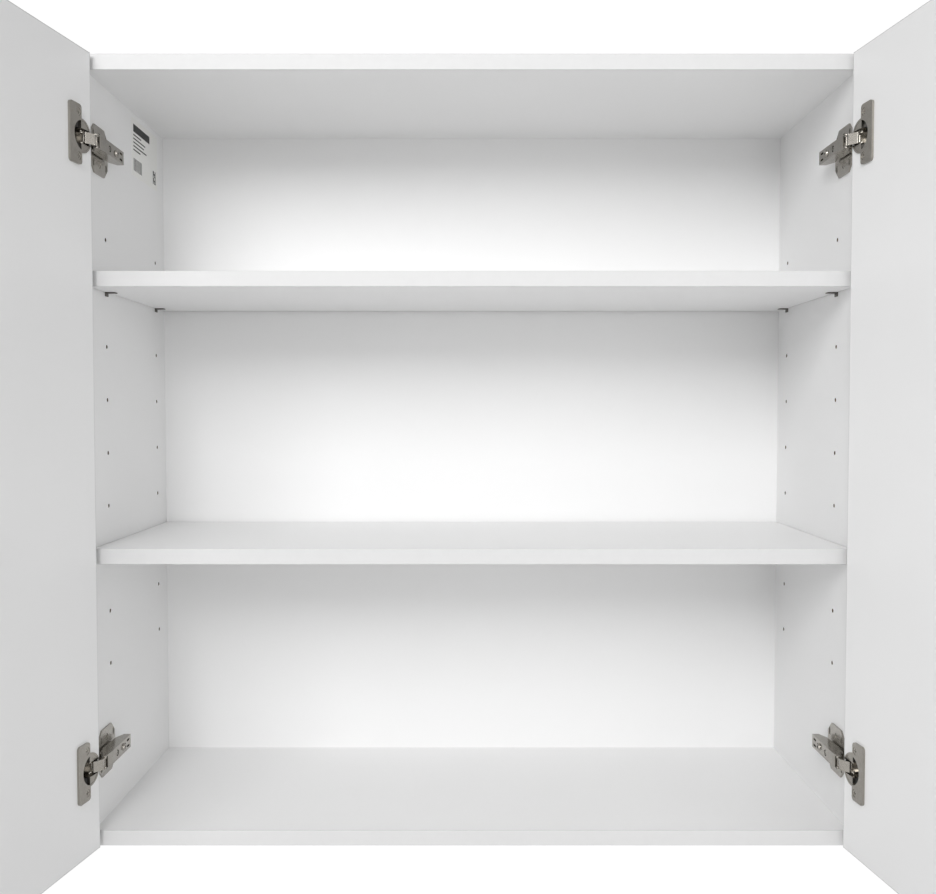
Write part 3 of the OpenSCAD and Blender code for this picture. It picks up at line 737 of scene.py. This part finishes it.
@dataclass
class Label:
    """The label on the left inner face, with plain printed bars and no lettering."""

    workshop: Workshop
    ink: MouldedPlastic = field(
        default_factory=lambda: MouldedPlastic("printing_ink_black", "1E1E1E", "2C2C2C", 0.6, 0.6)
    )
    ink_t: float = 0.03 * MM
    margin: float = 7 * MM
    header_h: float = 10 * MM
    line_h: float = 1.7 * MM
    line_pitch: float = 4.8 * MM
    line_ends: tuple[float, ...] = (0.34, 0.52, 0.46, 0.58, 0.3)
    stripe_h: float = 16 * MM
    stripe_widths: tuple[float, ...] = (0.9, 1.6, 0.9, 2.6, 1.2, 0.9, 2.0, 1.4, 0.9, 2.8, 1.1, 1.7)
    check_cell: float = 3.0 * MM
    check_gap: float = 0.3 * MM
    check_rows: int = 6
    check_columns: int = 4
    stripe_gap: float = 1.3
    header_share: float = 0.72
    header_gap: float = 3 * MM

    def build(self) -> None:
        """Dresses the paper and prints its bars."""
        self.workshop.dress("blank_label")
        low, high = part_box("blank_label")
        print_bm = bmesh.new()
        near, far = low.y + self.margin, high.y - self.margin
        top = high.z - self.margin
        self.bar(print_bm, high.x, near, near + self.header_share * (far - near), top - self.header_h, top)
        z = top - self.header_h - self.header_gap
        for share in self.line_ends:
            self.bar(print_bm, high.x, near, near + share * (far - near), z - self.line_h, z)
            z -= self.line_pitch
        y = near
        base = low.z + self.margin
        for width in self.stripe_widths:
            self.bar(print_bm, high.x, y, y + width * MM, base, base + self.stripe_h)
            y += (width + self.stripe_gap) * MM
        for row in range(self.check_rows):
            for column in range(self.check_columns):
                if (row * 3 + column * 5 + row * column) % 3 != 1:
                    self.bar(
                        print_bm,
                        high.x,
                        far - (column + 1) * self.check_cell,
                        far - column * self.check_cell - self.check_gap,
                        base + row * self.check_cell,
                        base + (row + 1) * self.check_cell - self.check_gap,
                    )
        piece = self.workshop.finish_piece(print_bm, "label_print", "carcass", Slot.PAPER.slot)
        piece.data.materials.clear()
        piece.data.materials.append(self.ink.build())

    def bar(
        self, shape: bmesh.types.BMesh, x: float, y_low: float, y_high: float, z_low: float, z_high: float
    ) -> None:
        """Adds one printed bar to a shape.

        Args:
            shape: the print so far.
            x: the paper's face.
            y_low: the bar's front end.
            y_high: the bar's rear end.
            z_low: the bar's lower edge.
            z_high: the bar's upper edge.
        """
        size = Vector((self.ink_t, y_high - y_low, z_high - z_low))
        centre = Vector((x + self.ink_t / 2, (y_low + y_high) / 2, (z_low + z_high) / 2))
        made = bmesh.ops.create_cube(shape, size=1.0)
        bmesh.ops.scale(shape, vec=size, verts=made["verts"])
        bmesh.ops.translate(shape, vec=centre, verts=made["verts"])


@dataclass
class Hinge:
    """One concealed hinge: mounting plate, arm, two links and the cup in the door."""

    workshop: Workshop
    side: str
    level: str
    plate_edge: float = 0.45 * MM
    arm_edge: float = 0.35 * MM
    link_edge: float = 0.3 * MM
    cup_edge: float = 0.35 * MM

    def build(self) -> None:
        """Rounds the edges of the plate, arm, cup and outer link, and dresses the inner link."""
        place = f"{self.side}_{self.level}"
        self.workshop.soften(f"{place}_hinge_plate", self.plate_edge)
        self.workshop.soften(f"{place}_hinge_arm", self.arm_edge)
        self.workshop.soften(f"{place}_hinge_cup", self.cup_edge, segments=3)
        self.workshop.soften(f"{place}_outer_link", self.link_edge)
        self.workshop.dress(f"{place}_inner_link")


@dataclass
class HingeFasteners:
    """Screws and pins that the hinges share."""

    workshop: Workshop
    screw_edge: float = 0.15 * MM

    def build(self) -> None:
        """Dresses the pins and rounds the screw heads."""
        self.workshop.dress("hinge_arm_pins")
        for node in ("hinge_plate_screws", "hinge_fixing_screws", "hinge_side_screws"):
            self.workshop.soften(node, self.screw_edge)


@dataclass
class Door:
    """One door leaf with its bands, cup hardware and bumpers."""

    workshop: Workshop
    side: str
    screw_edge: float = 0.15 * MM

    def build(self) -> None:
        """Dresses the leaf and what is fixed to it."""
        for part in ("door", "door_edge_bands", "cup_pins", "cup_dampers", "door_bumpers"):
            self.workshop.dress(f"{self.side}_{part}")
        self.workshop.soften(f"{self.side}_cup_screws", self.screw_edge)


# ---------------------------------------------------------------------- studio
@dataclass(frozen=True)
class SoftBox:
    """One large soft light."""

    name: str
    place: tuple[float, float, float]
    target: tuple[float, float, float]
    size: float
    power: float
    glint_only: bool = False

    def build(self) -> None:
        """Adds the light, turned to its target; a glint light shows only in gloss."""
        lamp = bpy.data.lights.new(self.name, "AREA")
        lamp.shape = "SQUARE"
        lamp.size = self.size
        lamp.energy = self.power
        light = bpy.data.objects.new(self.name, lamp)
        aim = Vector(self.target) - Vector(self.place)
        light.location = self.place
        light.rotation_euler = aim.to_track_quat("-Z", "Y").to_euler()
        light.visible_diffuse = not self.glint_only
        bpy.context.scene.collection.objects.link(light)


@dataclass
class Studio:
    """Pale floor, soft light and the camera in front of the cabinet."""

    camera_place: tuple[float, float, float] = (0.0, -1.4606, -0.3475)
    tilt_deg: float = -2.04
    lens_mm: float = 38.67
    shift_x: float = -0.0037
    floor_z: float = -1.5
    floor_size: float = 4.0
    floor_behind: float = 0.3
    ambient: float = 0.46
    backdrop: float = 1.02
    boxes: tuple[SoftBox, ...] = (
        SoftBox("key_box", (-0.75, -2.9, 0.95), (0.0, -0.2, -0.4), 1.3, 56.0),
        SoftBox("fill_box", (0.9, -3.2, 0.1), (0.0, -0.2, -0.4), 1.6, 14.0),
        SoftBox("left_glint_box", (-2.7, -2.3, -0.4), (-0.4, -0.4, -0.4), 2.6, 60.0, True),
        SoftBox("right_glint_box", (2.7, -2.3, -0.4), (0.4, -0.4, -0.4), 2.6, 60.0, True),
    )

    def build(self) -> None:
        """Sets up the floor, the lights, the surroundings and the camera."""
        self.build_floor()
        for box in self.boxes:
            box.build()
        self.build_world()
        self.build_camera()
        bpy.context.scene.view_settings.view_transform = "Standard"

    def build_floor(self) -> None:
        """Makes the plain pale floor."""
        shape = bmesh.new()
        bmesh.ops.create_grid(shape, x_segments=1, y_segments=1, size=self.floor_size / 2)
        middle = Vector((0, self.floor_behind - self.floor_size / 2, self.floor_z))
        bmesh.ops.translate(shape, vec=middle, verts=shape.verts)
        mesh = bpy.data.meshes.new("studio_floor")
        shape.to_mesh(mesh)
        shape.free()
        material = bpy.data.materials.new("paper_backdrop_white")
        material.use_nodes = True
        shader = material.node_tree.nodes["Principled BSDF"]
        shader.inputs["Base Color"].default_value = linear_rgba("FAFAFA")
        shader.inputs["Roughness"].default_value = 0.9
        mesh.materials.append(material)
        floor = bpy.data.objects.new("studio_floor", mesh)
        bpy.context.scene.collection.objects.link(floor)

    def build_world(self) -> None:
        """Surrounds the cabinet with even white light."""
        world = bpy.data.worlds.new("studio_surround")
        world.use_nodes = True
        tree = world.node_tree
        background = tree.nodes["Background"]
        background.inputs["Color"].default_value = linear_rgba("FFFFFF")
        rays = add_node(tree, "ShaderNodeLightPath")
        strength = add_node(
            tree,
            "ShaderNodeMapRange",
            {"Value": rays.outputs["Is Camera Ray"], "To Min": self.ambient, "To Max": self.backdrop},
        )
        tree.links.new(strength.outputs["Result"], background.inputs["Strength"])
        bpy.context.scene.world = world

    def build_camera(self) -> None:
        """Places the camera."""
        data = bpy.data.cameras.new("studio_camera")
        data.lens = self.lens_mm
        data.sensor_width = 36.0
        data.clip_start = 0.02
        data.dof.use_dof = False
        camera = bpy.data.objects.new("studio_camera", data)
        data.shift_x = self.shift_x
        turn = Matrix.Rotation(math.radians(90 + self.tilt_deg), 4, "X")
        camera.matrix_world = Matrix.Translation(self.camera_place) @ turn
        bpy.context.scene.collection.objects.link(camera)
        bpy.context.scene.camera = camera


def main() -> None:
    """Builds the cabinet's looks in order."""
    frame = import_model()
    workshop = Workshop(frame)
    Carcass(workshop).build()
    Shelves(workshop).build()
    SupportHoleWalls(workshop).build()
    Label(workshop).build()
    for side in ("left", "right"):
        for level in ("upper", "lower"):
            Hinge(workshop, side, level).build()
        Door(workshop, side).build()
    HingeFasteners(workshop).build()
    Studio().build()


if __name__ == "__main__":
    logging.basicConfig(level=logging.INFO, format="%(message)s")
    main()
